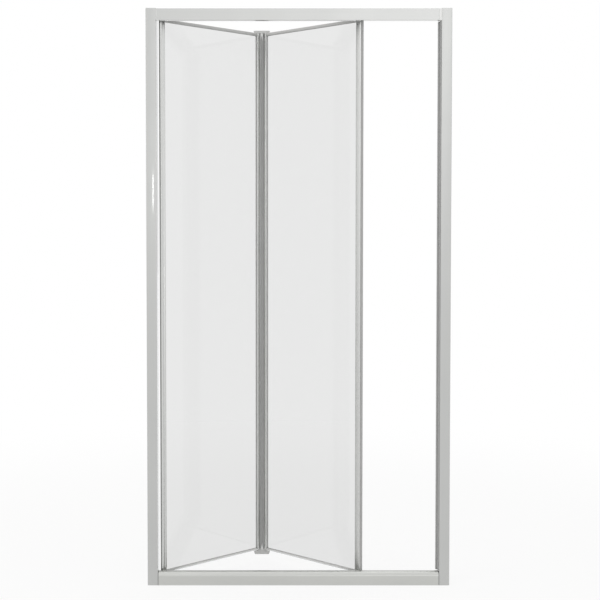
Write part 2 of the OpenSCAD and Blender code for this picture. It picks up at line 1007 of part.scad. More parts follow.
// A flat bar with round ends, centred on the hinge
module round_bar(half_l, r) {
    for (side = [-1, 1])
        translate([side * (half_l - r), 0])
            circle(r);
    span(r - half_l, -r, half_l - r, r);
}

// A cap's plate, whose ends slope in towards z_narrow
module cap_plate(z_wide, z_narrow) {
    half = cap_w / 2;
    intersection() {
        along_z(min(z_wide, z_narrow), max(z_wide, z_narrow))
            round_bar(half, cap_d / 2);
        translate([0, cap_d, 0])
            rotate([90, 0, 0])
                linear_extrude(2 * cap_d)
                    polygon([
                        [-half - over, z_wide], [half + over, z_wide],
                        [half - cap_flare, z_narrow], [cap_flare - half, z_narrow]
                    ]);
    }
}

// Draws an outline of X and Z in front of the centre strip
module tongue() {
    translate([0, -strip_d / 2 - tongue_gap, 0])
        rotate([90, 0, 0])
            linear_extrude(tongue_t)
                children();
}

module hinge_pin_places() {
    for (side = [-1, 1])
        translate([side * hinge_pitch / 2, 0, 0])
            children();
}

module hinge_top_cap() {
    half = tongue_w / 2;
    color("darkgray")
        on_hinge()
            difference() {
                union() {
                    cap_plate(cap_z1 + top_cap_h, cap_z1);
                    tongue()
                        polygon([
                            [-half, cap_z1 + over], [half, cap_z1 + over], [half, cap_z1 - top_tongue_l],
                            [0, cap_z1 - notch_top], [-half, cap_z1 - top_tongue_l]
                        ]);
                }
                hinge_pin_places()
                    rod(0, 0, cap_z1 - over, cap_z1 + hinge_pin_in_cap, hinge_pin_r + fix_clear);
            }
}

module hinge_bottom_cap() {
    half = tongue_w / 2;
    neck_z = cap_z0 - cap_neck_h;
    point_z = cap_z0 + low_tongue_l;
    color("darkgray")
        on_hinge()
            difference() {
                union() {
                    cap_plate(neck_z, neck_z - foot_h);
                    along_z(neck_z, cap_z0)
                        round_bar(hinge_pitch / 2 + cap_neck_r, cap_neck_r);
                    tongue()
                        polygon([
                            [-half, neck_z - over], [half, neck_z - over], [half, cap_z0],
                            [0, point_z], [-half, cap_z0]
                        ]);
                }
                hinge_pin_places()
                    rod(0, 0, cap_z0 - hinge_pin_in_cap, cap_z0 + over, hinge_pin_r + fix_clear);
            }
}

// Strip with round faces that fills the gap between the two stiles
module hinge_centre_strip() {
    color("dimgray")
        on_hinge()
            along_z(cap_z0, cap_z1)
                rotate(90)
                    round_bar(strip_d / 2, strip_half);
}

module hinge_pins() {
    color("lightsteelblue")
        on_hinge()
            hinge_pin_places() {
                rod(0, 0, cap_z0 - hinge_pin_in_cap, panel_z0 + plug_hold, hinge_pin_r);
                rod(0, 0, panel_z1 - plug_hold, cap_z1 + hinge_pin_in_cap, hinge_pin_r);
            }
}

// ---------- Guides ----------

// The roller's pin: a collar under the roller, its axle, and a thin collar above it
module roller_pin() {
    roller_top = roller_z + roller_h + roller_float;
    color("lightsteelblue") {
        rod(guide_x, track_y, panel_z1 - plug_hold, roller_top, roller_pin_r);
        rod(guide_x, track_y, panel_z1, track_z, roller_collar_r);
        rod(guide_x, track_y, roller_top, roller_top + roller_cap_h, roller_collar_r);
    }
}

module guide_roller() {
    color("white")
        difference() {
            rod(guide_x, track_y, roller_z, roller_z + roller_h, roller_r);
            rod(guide_x, track_y, roller_z - over, roller_z + roller_h + over, roller_pin_r + run_clear);
        }
}

module guide_pin() {
    color("lightsteelblue")
        rod(guide_x, track_y, panel_z0 - pivot_pin_out, panel_z0 + plug_hold, guide_pin_r);
}

// The guide shoe: a body over the floor and a tongue in the groove
module guide_shoe() {
    tongue_half = groove_w / 2 - shoe_clear;
    color("white")
        translate([guide_x, track_y, 0])
            difference() {
                union() {
                    along_z(shoe_z0, low_part_top)
                        round_span(-shoe_l / 2, -shoe_d / 2, shoe_l / 2, shoe_d / 2, shoe_d / 4);
                    along_z(groove_z + shoe_lift, shoe_z0)
                        round_bar(shoe_l / 2, tongue_half);
                }
                rod(0, 0, panel_z0 - pivot_pin_out - over, low_part_top + over, guide_pin_r + run_clear);
            }
}

left_wall_channel();
right_wall_channel();
left_jamb();
right_jamb();
top_rail();
bottom_rail();
top_left_end_block();
top_right_end_block();
bottom_left_end_block();
bottom_right_end_block();
corner_screws();
jamb_fixing_screws();
screw_cover_caps();
top_pivot_block();
bottom_pivot_block();
top_pivot_bush();
bottom_pivot_bush();
pivot_block_screws();
strike_profile();
strike_magnet();
fold_stop();
pivot_stile();
pivot_hinge_stile();
pivot_glass();
pivot_top_trim();
pivot_bottom_trim();
pivot_sweep_seal();
pivot_glass_gaskets();
pivot_stile_plugs();
pivot_hinge_plugs();
top_pivot_pin();
bottom_pivot_pin();
hinge_top_cap();
hinge_bottom_cap();
hinge_centre_strip();
hinge_pins();
slide_hinge_stile();
closing_stile();
slide_glass();
slide_top_trim();
slide_bottom_trim();
slide_sweep_seal();
slide_glass_gaskets();
slide_hinge_plugs();
closing_stile_plugs();
closing_magnet_seal();
roller_pin();
guide_pin();
guide_roller();
guide_shoe();
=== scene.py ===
import json
import math

import bmesh
import bpy
import numpy as np
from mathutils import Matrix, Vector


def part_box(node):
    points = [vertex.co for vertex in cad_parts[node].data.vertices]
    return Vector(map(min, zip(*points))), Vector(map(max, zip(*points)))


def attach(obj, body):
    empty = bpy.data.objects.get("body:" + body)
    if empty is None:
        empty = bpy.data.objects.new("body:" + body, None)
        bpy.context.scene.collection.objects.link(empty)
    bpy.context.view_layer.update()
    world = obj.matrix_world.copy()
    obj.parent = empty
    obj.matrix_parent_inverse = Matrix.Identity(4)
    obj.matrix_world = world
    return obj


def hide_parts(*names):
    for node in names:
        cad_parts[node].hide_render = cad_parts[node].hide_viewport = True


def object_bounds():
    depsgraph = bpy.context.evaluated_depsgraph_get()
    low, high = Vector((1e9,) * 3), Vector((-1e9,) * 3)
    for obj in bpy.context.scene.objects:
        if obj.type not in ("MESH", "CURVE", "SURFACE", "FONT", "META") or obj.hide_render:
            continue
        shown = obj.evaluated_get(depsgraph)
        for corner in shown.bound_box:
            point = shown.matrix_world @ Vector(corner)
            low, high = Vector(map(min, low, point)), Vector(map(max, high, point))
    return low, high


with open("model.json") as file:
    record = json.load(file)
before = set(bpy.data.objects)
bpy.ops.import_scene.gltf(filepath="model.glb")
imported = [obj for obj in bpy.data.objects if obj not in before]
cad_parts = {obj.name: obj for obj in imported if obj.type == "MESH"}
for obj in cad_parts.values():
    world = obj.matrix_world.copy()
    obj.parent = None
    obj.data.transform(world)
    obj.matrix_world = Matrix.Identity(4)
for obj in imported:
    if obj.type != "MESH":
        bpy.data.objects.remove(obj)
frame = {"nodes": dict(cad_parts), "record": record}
cadLow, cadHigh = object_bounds()
nodes = frame["nodes"]
record = frame["record"]
joints = {joint["name"]: joint for joint in record["behaviour"]["joints"]}
bodyOf = {node: body for body, members in record["behaviour"]["bodies"].items() for node in members}
slotOf = {row["node"]: row["material_slot"] for row in record["subparts"]}
fold = -joints["door_fold"]["range_deg"][0]  # degrees from the closed door to the pose of rest
scene = bpy.context.scene
print("frame: %d nodes" % len(nodes))


def boxOf(node):
    # the lowest and the highest corner of a node at rest, in millimetres to two decimals
    return [np.round(np.array(end) * 1000, 2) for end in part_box(node)]


# Camera and studio

camera = {
    "place": (-0.0650, -4.0388, 1.1752),
    "tilt": 2.264,  # degrees below the horizon
    "focalPixels": 1221.4,
    "picture": 600,
    "centre": (278.9, 279.0),  # where the optical axis meets the picture
    "sensor": 36.0,  # millimetres wide
    "reach": 200.0,  # metres
}

studio = {
    "level": 0.90,  # of the light that falls on the object from all sides
    "rightShade": 0.90,  # what is left of it from the far right, and from behind
    "backShade": 0.88,
    "rightFade": (0.25, 0.95),  # directions between which these shades come in
    "backFade": (0.0, 0.9),
    "softBoxes": [
        {"towards": (0.13, -0.97, 0.18), "tilt": 32.0, "long": 0.18, "wide": 0.11, "gain": 0.98},
        {"towards": (-1.0, -0.1, 0.0), "tilt": 0.0, "long": 0.45, "wide": 0.9, "gain": 0.22},
        {"towards": (1.0, -0.1, 0.0), "tilt": 0.0, "long": 0.45, "wide": 0.9, "gain": 0.26},
        {"towards": (0.0, 0.0, 1.0), "tilt": 0.0, "long": 0.9, "wide": 0.6, "gain": 0.45},
    ],
    "boxDeep": 0.5,  # a soft box's third measure, beside its long and wide ones
    "boxFall": 2.718,  # about e
    "floorColour": (0.88, 0.88, 0.87),
    "floorShadow": 0.14,  # share of the floor's real shading that shows near the door
    "floorFade": (1.2, 3.5),  # distances between which that share runs out
    "floorSize": 60.0,
}

lamps = {
    "keyLamp": {
        "place": (-3.2, -3.6, 2.6), "aim": (0.0, 0.0, 1.0), "size": (2.4, 2.4), "power": 25.0,
    },
    "glintLamp": {  # small, so that the left jamb's clear film shows it as an oval
        "place": (-0.71, -3.015, 1.396), "aim": (-0.477, -0.032, 1.302),
        "size": (0.055, 0.20), "power": 0.29,
    },
}


def makeCamera():
    data = bpy.data.cameras.new("camera")
    data.sensor_width = camera["sensor"]
    data.lens = camera["focalPixels"] / camera["picture"] * data.sensor_width
    data.shift_x = 0.5 - camera["centre"][0] / camera["picture"]
    data.shift_y = camera["centre"][1] / camera["picture"] - 0.5
    data.clip_end = camera["reach"]
    piece = bpy.data.objects.new("camera", data)
    piece.location = camera["place"]
    piece.rotation_euler = (math.radians(90.0 - camera["tilt"]), 0.0, 0.0)
    scene.collection.objects.link(piece)
    scene.camera = piece


def connect(tree, source, target):
    tree.links.new(source, target)


def feed(tree, value, socket):
    # a number is set on the socket, and anything else is the output of another node
    if isinstance(value, (int, float)):
        socket.default_value = value
    else:
        connect(tree, value, socket)


def mathNode(tree, operation, first, second):
    node = tree.nodes.new("ShaderNodeMath")
    node.operation = operation
    feed(tree, first, node.inputs[0])
    feed(tree, second, node.inputs[1])
    return node.outputs[0]


def raySorts(tree):
    # two masks: the camera sees the thing directly or through glass, and a mirror shows it
    path = tree.nodes.new("ShaderNodeLightPath")
    direct = mathNode(tree, "MAXIMUM", path.outputs["Is Camera Ray"], path.outputs["Is Transmission Ray"])
    return direct, path.outputs["Is Glossy Ray"]


def smoothNode(tree, value, low, high, atLow, atHigh):
    ramp = tree.nodes.new("ShaderNodeMapRange")
    ramp.interpolation_type = "SMOOTHSTEP"
    ramp.inputs["From Min"].default_value = low
    ramp.inputs["From Max"].default_value = high
    ramp.inputs["To Min"].default_value = atLow
    ramp.inputs["To Max"].default_value = atHigh
    connect(tree, value, ramp.inputs["Value"])
    return ramp.outputs["Result"]


def softBox(tree, place, box):
    # a glow around one direction: gain times e to the minus square of the distance from it,
    # where the distance is counted in the box's long, deep and wide measures
    mapping = tree.nodes.new("ShaderNodeMapping")
    mapping.vector_type = "TEXTURE"
    mapping.inputs["Location"].default_value = box["towards"]
    mapping.inputs["Rotation"].default_value = (0.0, -math.radians(box["tilt"]), 0.0)
    mapping.inputs["Scale"].default_value = (box["long"], studio["boxDeep"], box["wide"])
    connect(tree, place, mapping.inputs["Vector"])
    length = tree.nodes.new("ShaderNodeVectorMath")
    length.operation = "LENGTH"
    connect(tree, mapping.outputs[0], length.inputs[0])
    square = mathNode(tree, "POWER", length.outputs["Value"], 2.0)
    fall = mathNode(tree, "POWER", studio["boxFall"], mathNode(tree, "MULTIPLY", square, -1.0))
    return mathNode(tree, "MULTIPLY", fall, box["gain"])


def makeWorld():
    world = bpy.data.worlds.new("studio")
    scene.world = world
    world.use_nodes = True
    tree = world.node_tree
    tree.nodes.clear()
    direct, mirrored = raySorts(tree)
    place = tree.nodes.new("ShaderNodeTexCoord").outputs["Generated"]
    parts = tree.nodes.new("ShaderNodeSeparateXYZ")
    connect(tree, place, parts.inputs[0])
    fromRight = smoothNode(tree, parts.outputs["X"], *studio["rightFade"], 1.0, studio["rightShade"])
    fromBack = smoothNode(tree, parts.outputs["Y"], *studio["backFade"], 1.0, studio["backShade"])
    shade = mathNode(tree, "MULTIPLY", fromRight, fromBack)
    # light from all sides, then what mirrors show, then the plain background
    lit = mathNode(tree, "MULTIPLY", shade, studio["level"])
    gloss = shade
    for box in studio["softBoxes"]:
        gloss = mathNode(tree, "ADD", gloss, softBox(tree, place, box))
    level = tree.nodes.new("ShaderNodeMix")
    connect(tree, mirrored, level.inputs["Factor"])
    connect(tree, lit, level.inputs["A"])
    connect(tree, gloss, level.inputs["B"])
    shown = tree.nodes.new("ShaderNodeMix")
    connect(tree, direct, shown.inputs["Factor"])
    connect(tree, level.outputs["Result"], shown.inputs["A"])
    shown.inputs["B"].default_value = 1.0
    back = tree.nodes.new("ShaderNodeBackground")
    back.inputs["Color"].default_value = (1.0, 1.0, 1.0, 1.0)
    connect(tree, shown.outputs["Result"], back.inputs["Strength"])
    out = tree.nodes.new("ShaderNodeOutputWorld")
    connect(tree, back.outputs[0], out.inputs["Surface"])


def makeFloor():
    half = studio["floorSize"] / 2
    low = float(cadLow.z)
    corners = [(-half, -half, low), (half, -half, low), (half, half, low), (-half, half, low)]
    mesh = bpy.data.meshes.new("floor")
    mesh.from_pydata(corners, [], [(0, 1, 2, 3)])
    piece = bpy.data.objects.new("floor", mesh)
    scene.collection.objects.link(piece)
    material = bpy.data.materials.new("paleFloor")
    material.use_nodes = True
    tree = material.node_tree
    tree.nodes.clear()
    direct, mirrored = raySorts(tree)
    matte = tree.nodes.new("ShaderNodeBsdfDiffuse")
    matte.inputs["Color"].default_value = (*studio["floorColour"], 1.0)
    plain = tree.nodes.new("ShaderNodeEmission")
    plain.inputs["Color"].default_value = (1.0, 1.0, 1.0, 1.0)
    plain.inputs["Strength"].default_value = 1.0
    place = tree.nodes.new("ShaderNodeTexCoord")
    away = tree.nodes.new("ShaderNodeVectorMath")
    away.operation = "LENGTH"
    connect(tree, place.outputs["Object"], away.inputs[0])
    hidden = smoothNode(tree, away.outputs["Value"], *studio["floorFade"], 1.0 - studio["floorShadow"], 1.0)
    share = mathNode(tree, "MULTIPLY", mathNode(tree, "MAXIMUM", direct, mirrored), hidden)
    mix = tree.nodes.new("ShaderNodeMixShader")
    connect(tree, share, mix.inputs[0])
    connect(tree, matte.outputs[0], mix.inputs[1])
    connect(tree, plain.outputs[0], mix.inputs[2])
    out = tree.nodes.new("ShaderNodeOutputMaterial")
    connect(tree, mix.outputs[0], out.inputs["Surface"])
    mesh.materials.append(material)


def makeLamp(name, look):
    data = bpy.data.lights.new(name, "AREA")
    data.shape = "RECTANGLE"
    data.size, data.size_y = look["size"]
    data.energy = look["power"]
    piece = bpy.data.objects.new(name, data)
    x, y, z = np.array(look["aim"]) - np.array(look["place"])
    piece.location = look["place"]
    piece.rotation_euler = (math.atan2(math.hypot(x, y), -z), 0.0, math.atan2(y, x) - math.pi / 2)
    piece.visible_camera = False  # it lights and glints, and isn't seen itself
    piece.visible_transmission = False
    scene.collection.objects.link(piece)


scene.view_settings.view_transform = "Standard"
makeCamera()
makeWorld()
makeFloor()
for lampName, lamp in lamps.items():
    makeLamp(lampName, lamp)
print("studio ready")


# Shared effects: both vary a colour and a roughness a little, and put out a height for bumps

drawn = {"lineDetail": 3.0, "patchScale": 7.0, "patchDetail": 2.0}
moulded = {
    "grainScale": 1400.0, "grainDetail": 2.0,
    "patchScale": 18.0, "patchDetail": 2.0, "patchDepth": 0.10, "bump": 0.15,
}


def newGroup(name, inputs):
    group = bpy.data.node_groups.new(name, "ShaderNodeTree")
    for title, kind in inputs.items():
        group.interface.new_socket(title, in_out="INPUT", socket_type="NodeSocket" + kind)
    for title, kind in {"Colour": "Color", "Roughness": "Float", "Height": "Float"}.items():
        group.interface.new_socket(title, in_out="OUTPUT", socket_type="NodeSocket" + kind)
    return group, group.nodes.new("NodeGroupInput"), group.nodes.new("NodeGroupOutput")


def noiseNode(tree, vector, scale, detail):
    noise = tree.nodes.new("ShaderNodeTexNoise")
    noise.inputs["Detail"].default_value = detail
    connect(tree, vector, noise.inputs["Vector"])
    feed(tree, scale, noise.inputs["Scale"])
    return noise.outputs["Fac"]


def shiftNode(group, noise, depth):
    # a noise between 0 and 1 as a small shift to both sides of 0
    return mathNode(group, "MULTIPLY", mathNode(group, "SUBTRACT", noise, 0.5), depth)


def putOut(group, start, end, shift, height):
    # the colour times 1 plus the shift, and the roughness less the shift
    scaled = group.nodes.new("ShaderNodeVectorMath")
    scaled.operation = "SCALE"
    connect(group, start.outputs["Colour"], scaled.inputs[0])
    connect(group, mathNode(group, "ADD", shift, 1.0), scaled.inputs["Scale"])
    connect(group, scaled.outputs[0], end.inputs["Colour"])
    connect(group, mathNode(group, "SUBTRACT", start.outputs["Roughness"], shift), end.inputs["Roughness"])
    connect(group, height, end.inputs["Height"])


def makeDrawnGroup():
    # fine lines that a stretched vector draws out, and broad soft patches
    group, start, end = newGroup("drawnMetal", {
        "Vector": "Vector", "Lines": "Vector", "Colour": "Color", "Roughness": "Float",
        "Line Scale": "Float", "Line Depth": "Float", "Patch Depth": "Float",
    })
    lines = noiseNode(group, start.outputs["Lines"], start.outputs["Line Scale"], drawn["lineDetail"])
    patches = noiseNode(group, start.outputs["Vector"], drawn["patchScale"], drawn["patchDetail"])
    lineShift = shiftNode(group, lines, start.outputs["Line Depth"])
    patchShift = shiftNode(group, patches, start.outputs["Patch Depth"])
    putOut(group, start, end, mathNode(group, "ADD", lineShift, patchShift), lines)
    return group


def makeMouldedGroup():
    # the fine spark-eroded grain of moulded plastic, with soft patches from handling
    group, start, end = newGroup("mouldedGrain", {
        "Vector": "Vector", "Colour": "Color", "Roughness": "Float", "Grain Scale": "Float",
    })
    grain = noiseNode(group, start.outputs["Vector"], start.outputs["Grain Scale"], moulded["grainDetail"])
    patches = noiseNode(group, start.outputs["Vector"], moulded["patchScale"], moulded["patchDetail"])
    putOut(group, start, end, shiftNode(group, patches, moulded["patchDepth"]), grain)
    return group


drawnMetal = makeDrawnGroup()
mouldedGrain = makeMouldedGroup()


# Materials

bumpReach = 0.0002  # metres


def newMaterial(name):
    material = bpy.data.materials.new(name)
    material.use_nodes = True
    tree = material.node_tree
    place = tree.nodes.new("ShaderNodeTexCoord")
    return material, tree, tree.nodes["Principled BSDF"], place.outputs["Object"]


def addEffect(tree, shader, vector, effect, look):
    # one of the shared effects, with its own values, feeds the colour, the roughness and the bumps
    group = tree.nodes.new("ShaderNodeGroup")
    group.node_tree = effect
    group.inputs["Colour"].default_value = (*look["colour"], 1.0)
    group.inputs["Roughness"].default_value = look["roughness"]
    connect(tree, vector, group.inputs["Vector"])
    connect(tree, group.outputs["Colour"], shader.inputs["Base Color"])
    connect(tree, group.outputs["Roughness"], shader.inputs["Roughness"])
    bump = tree.nodes.new("ShaderNodeBump")
    bump.inputs["Strength"].default_value = look["bump"]
    bump.inputs["Distance"].default_value = bumpReach
    connect(tree, group.outputs["Height"], bump.inputs["Height"])
    connect(tree, bump.outputs["Normal"], shader.inputs["Normal"])
    return group


def makeMetal(name, look, along):
    # along is the direction of the profile: upright, or level at an angle to the frame in degrees
    material, tree, shader, vector = newMaterial(name)
    mapping = tree.nodes.new("ShaderNodeMapping")
    mapping.vector_type = "TEXTURE"
    if along == "upright":
        mapping.inputs["Scale"].default_value = (1.0, 1.0, look["stretch"])
    else:
        mapping.inputs["Rotation"].default_value = (0.0, 0.0, math.radians(along))
        mapping.inputs["Scale"].default_value = (look["stretch"], 1.0, 1.0)
    connect(tree, vector, mapping.inputs["Vector"])
    group = addEffect(tree, shader, vector, drawnMetal, look)
    group.inputs["Line Scale"].default_value = look["lineScale"]
    group.inputs["Line Depth"].default_value = look["lineDepth"]
    group.inputs["Patch Depth"].default_value = look["patchDepth"]
    connect(tree, mapping.outputs[0], group.inputs["Lines"])
    shader.inputs["Metallic"].default_value = 1.0
    shader.inputs["Coat Weight"].default_value = look["coat"]
    shader.inputs["Coat Roughness"].default_value = look["coatRoughness"]
    shader.inputs["Coat IOR"].default_value = look["coatIor"]
    return material


def lightenTongues(tree, vector, socket, look):
    # the lighter colour between two heights, where only the tongues of the hinge's caps are
    low, high = look["tongueHeights"]
    height = tree.nodes.new("ShaderNodeSeparateXYZ")
    connect(tree, vector, height.inputs[0])
    above = mathNode(tree, "GREATER_THAN", height.outputs["Z"], low)
    below = mathNode(tree, "LESS_THAN", height.outputs["Z"], high)
    mix = tree.nodes.new("ShaderNodeMix")
    mix.data_type = "RGBA"
    connect(tree, mathNode(tree, "MULTIPLY", above, below), mix.inputs["Factor"])
    mix.inputs["A"].default_value = (*look["colour"], 1.0)
    mix.inputs["B"].default_value = (*look["tongueColour"], 1.0)
    connect(tree, mix.outputs["Result"], socket)


def makePlastic(name, look):
    material, tree, shader, vector = newMaterial(name)
    group = addEffect(tree, shader, vector, mouldedGrain, dict(look, bump=moulded["bump"]))
    group.inputs["Grain Scale"].default_value = moulded["grainScale"]
    if "tongueColour" in look:
        lightenTongues(tree, vector, group.inputs["Colour"], look)
    shader.inputs["Transmission Weight"].default_value = look.get("clear", 0.0)
    return material


def makeGlass(name, look):
    # shadow rays pass straight through, so that lamps light what is behind a pane
    material, tree, shader, vector = newMaterial(name)
    smudges = noiseNode(tree, vector, look["smudgeScale"], look["smudgeDetail"])
    connect(tree, mathNode(tree, "MULTIPLY", smudges, look["smudge"]), shader.inputs["Roughness"])
    shader.inputs["Base Color"].default_value = (*look["colour"], 1.0)
    shader.inputs["Transmission Weight"].default_value = 1.0
    shader.inputs["IOR"].default_value = look["ior"]
    shader.inputs["Specular Tint"].default_value = (*look["gloss"], 1.0)
    clear = tree.nodes.new("ShaderNodeBsdfTransparent")
    clear.inputs["Color"].default_value = (*look["colour"], 1.0)
    path = tree.nodes.new("ShaderNodeLightPath")
    mix = tree.nodes.new("ShaderNodeMixShader")
    connect(tree, path.outputs["Is Shadow Ray"], mix.inputs[0])
    connect(tree, shader.outputs[0], mix.inputs[1])
    connect(tree, clear.outputs[0], mix.inputs[2])
    connect(tree, mix.outputs[0], tree.nodes["Material Output"].inputs["Surface"])
    return material


satin = {  # its coat is the clear oxide film of anodising
    "colour": (0.48, 0.485, 0.475), "roughness": 0.30,
    "coat": 1.0, "coatRoughness": 0.05, "coatIor": 1.77,
    "stretch": 250.0, "lineScale": 900.0, "lineDepth": 0.05, "patchDepth": 0.05, "bump": 0.10,
}
# the top rail, the bottom rail and the stiles are the same anodised aluminium as the jambs; their lighter
# colours are painted light
topRail = dict(satin, colour=(0.51, 0.515, 0.505))
lowRail = dict(satin, colour=(0.545, 0.55, 0.53), roughness=0.32, coat=0.0)
stile = dict(satin, colour=(0.61, 0.615, 0.605), roughness=0.24, coat=0.0)
mill = dict(satin, colour=(0.60, 0.60, 0.60), roughness=0.45, coat=0.0, lineDepth=0.12, bump=0.25)
trim = dict(satin, colour=(0.50, 0.50, 0.49), roughness=0.45, coat=0.0, lineDepth=0.08)
# the bottom trims are the same metal as the top trims; their lighter colour is painted light
lowTrim = dict(trim, colour=(0.64, 0.64, 0.63))
bright = dict(satin, colour=(0.62, 0.62, 0.63), roughness=0.22, coat=0.0, lineDepth=0.03)
metals = {
    "satinUpright": (satin, "upright"), "topRailLevel": (topRail, 0.0), "lowRailLevel": (lowRail, 0.0),
    "stileUpright": (stile, "upright"), "millUpright": (mill, "upright"),
    "trimLeft": (trim, fold), "lowTrimLeft": (lowTrim, fold),
    "lowTrimRight": (lowTrim, -fold), "trimRight": (trim, -fold), "steel": (bright, "upright"),
}

# the tongues lie beside the hinge's centre strip, which reaches from one cap to the other
stripLow, stripHigh = boxOf("hinge_centre_strip")
tongueInset = 0.1
plastics = {
    "lightPlastic": {"colour": (0.88, 0.88, 0.87), "roughness": 0.45},
    "blackPlastic": {"colour": (0.09, 0.09, 0.09), "roughness": 0.45},
    "darkPlastic": {"colour": (0.39, 0.39, 0.385), "roughness": 0.38},
    "greyPlastic": {"colour": (0.72, 0.72, 0.71), "roughness": 0.45},
    "hingePlastic": {
        "colour": (0.60, 0.60, 0.59), "roughness": 0.35,
        "tongueColour": (0.88, 0.88, 0.87),
        "tongueHeights": ((stripLow[2] + tongueInset) / 1000, (stripHigh[2] - tongueInset) / 1000),
    },
    "whiteNylon": {"colour": (0.80, 0.80, 0.78), "roughness": 0.35},
    "darkRubber": {"colour": (0.04, 0.04, 0.04), "roughness": 0.65},
    "magnetStrip": {"colour": (0.48, 0.48, 0.475), "roughness": 0.50},
    "gasket": {"colour": (0.85, 0.85, 0.84), "roughness": 0.45},
    "clearSeal": {"colour": (0.92, 0.93, 0.93), "roughness": 0.20, "clear": 0.85},
}
glass = {
    "colour": (0.81, 0.812, 0.81), "ior": 1.5, "gloss": (0.3, 0.3, 0.3),
    "smudge": 0.02, "smudgeScale": 5.0, "smudgeDetail": 3.0,
}

materials = {name: makeMetal(name, look, along) for name, (look, along) in metals.items()}
materials.update({name: makePlastic(name, look) for name, look in plastics.items()})
materials["clearGlass"] = makeGlass("clearGlass", glass)
print("%d finishes ready" % len(materials))

finishOfSlot = {
    "satin_aluminium": "satinUpright", "mill_aluminium": "millUpright", "trim_aluminium": "trimLeft",
    "light_plastic": "lightPlastic", "dark_plastic": "darkPlastic", "grey_plastic": "greyPlastic",
    "hinge_plastic": "hingePlastic", "white_nylon": "whiteNylon", "steel": "steel",
    "dark_rubber": "darkRubber", "magnet_strip": "magnetStrip", "gasket": "gasket",
    "clear_seal": "clearSeal", "clear_glass": "clearGlass", "black_plastic": "blackPlastic",
}
# the rails, the stiles and the bottom trims take lighter copies of their metals, which paint light on them
finishOfNode = {
    "top_rail": "topRailLevel", "bottom_rail": "lowRailLevel",
    "slide_top_trim": "trimRight", "slide_bottom_trim": "lowTrimRight", "pivot_bottom_trim": "lowTrimLeft",
    "pivot_stile": "stileUpright", "pivot_hinge_stile": "stileUpright",
    "slide_hinge_stile": "stileUpright", "closing_stile": "stileUpright",
}


def finishFor(node):
    return materials[finishOfNode.get(node, finishOfSlot[slotOf[node]])]


# Surfaces: a shape is its points in millimetres, its quads, and the faces that close its ends

mend = {"merge": 2e-6, "flat": 0.4, "sharp": 32.0}  # metres, then angles between faces in degrees


def gridQuads(rows, columns, closeRows=False):
    # quads between neighbours of a grid whose columns run round and close
    i, j = np.meshgrid(np.arange(rows if closeRows else rows - 1), np.arange(columns), indexing="ij")
    down, onward = (i + 1) % rows, (j + 1) % columns
    corners = [i * columns + j, i * columns + onward, down * columns + onward, down * columns + j]
    return np.stack(corners, axis=-1).reshape(-1, 4)


def arc(centre, radius, start, end, steps):
    # points on a circle: centre plus radius times the cosine and sine of an angle in degrees
    angle = np.radians(np.linspace(start, end, steps))
    return np.stack([centre[0] + radius * np.cos(angle), centre[1] + radius * np.sin(angle)], axis=1)


def insetProfile(profile, depth):
    # each point moves against the outward normal of a profile that runs anticlockwise
    along = np.roll(profile, -1, axis=0) - np.roll(profile, 1, axis=0)
    along = along / np.maximum(np.linalg.norm(along, axis=1, keepdims=True), 1e-9)
    return profile - depth * np.stack([along[:, 1], -along[:, 0]], axis=1)


def carry(profile, look):
    # a closed profile carried from start to end, and drawn in at both by a chamfer,
    # whose two slopes meet at three tenths of its size
    start, end, soft = look["start"], look["end"], look["chamfer"]
    near = 0.3 * soft
    rows = [
        (start, soft), (start + near, near), (start + soft, 0.0),
        (end - soft, 0.0), (end - near, near), (end, soft),
    ]
    count = len(profile)
    rings = [np.column_stack([insetProfile(profile, inset), np.full(count, at)]) for at, inset in rows]
    last = (len(rows) - 1) * count
    ends = [list(range(count)), list(range(last, last + count))]
    return np.stack(rings), gridQuads(len(rows), count), ends


def spin(radius, height, steps):
    # a surface of revolution: each ring is radius times the cosine and sine of its angle, at one height
    turn = np.linspace(0.0, 2 * np.pi, steps, endpoint=False)
    radius, height = np.asarray(radius)[:, None], np.asarray(height)[:, None]
    return np.stack([radius * np.cos(turn), radius * np.sin(turn), height + 0 * turn], axis=-1)


def repeatAt(points, quads, places):
    # the same grid at several places, each a starting point and three axes
    grids = [np.array(start) + points.reshape(-1, 3) @ np.array(axes) for start, axes in places]
    size = len(grids[0])
    return np.concatenate(grids), np.concatenate([quads + size * i for i in range(len(grids))]), []


def together(first, second):
    # two shapes as one: the second's faces count on from the first's points
    grids = [shape[0].reshape(-1, 3) for shape in (first, second)]
    count = len(grids[0])
    ends = first[2] + [[i + count for i in end] for end in second[2]]
    return np.concatenate(grids), np.concatenate([first[1], second[1] + count]), ends


def turned(angle):
    # the axes of a piece turned about the upright, by an angle in degrees
    cosine, sine = math.cos(math.radians(angle)), math.sin(math.radians(angle))
    return ((cosine, sine, 0), (-sine, cosine, 0), (0, 0, 1))


# where a piece's own X, Y and Z point
straight = ((1, 0, 0), (0, 1, 0), (0, 0, 1))
downwards = ((1, 0, 0), (0, -1, 0), (0, 0, -1))
outOfBack = ((1, 0, 0), (0, 0, -1), (0, 1, 0))
outwards = {1: ((0, 0, 1), (0, 1, 0), (1, 0, 0)), -1: ((0, 0, 1), (0, 1, 0), (-1, 0, 0))}

# each panel lies along the first of its axes, from its pins at the start
panel = {"length": 439.0, "link": 22.0}  # between a panel's pin axes, and between those of the hinge
leftward, rightward = turned(fold), turned(-fold)
pivotStart = np.round(np.array(joints["door_fold"]["pos_m"]) * 1000, 2)
hingeStart = pivotStart + panel["length"] * np.array(leftward[0])
slideStart = hingeStart + np.array((panel["link"], 0.0, 0.0))
slideEnd = slideStart + panel["length"] * np.array(rightward[0])
panels = (("pivot", pivotStart, leftward), ("slide", slideStart, rightward))


def shadeSmooth(mesh):
    mesh.shade_smooth()
    mesh.set_sharp_from_angle(angle=math.radians(mend["sharp"]))


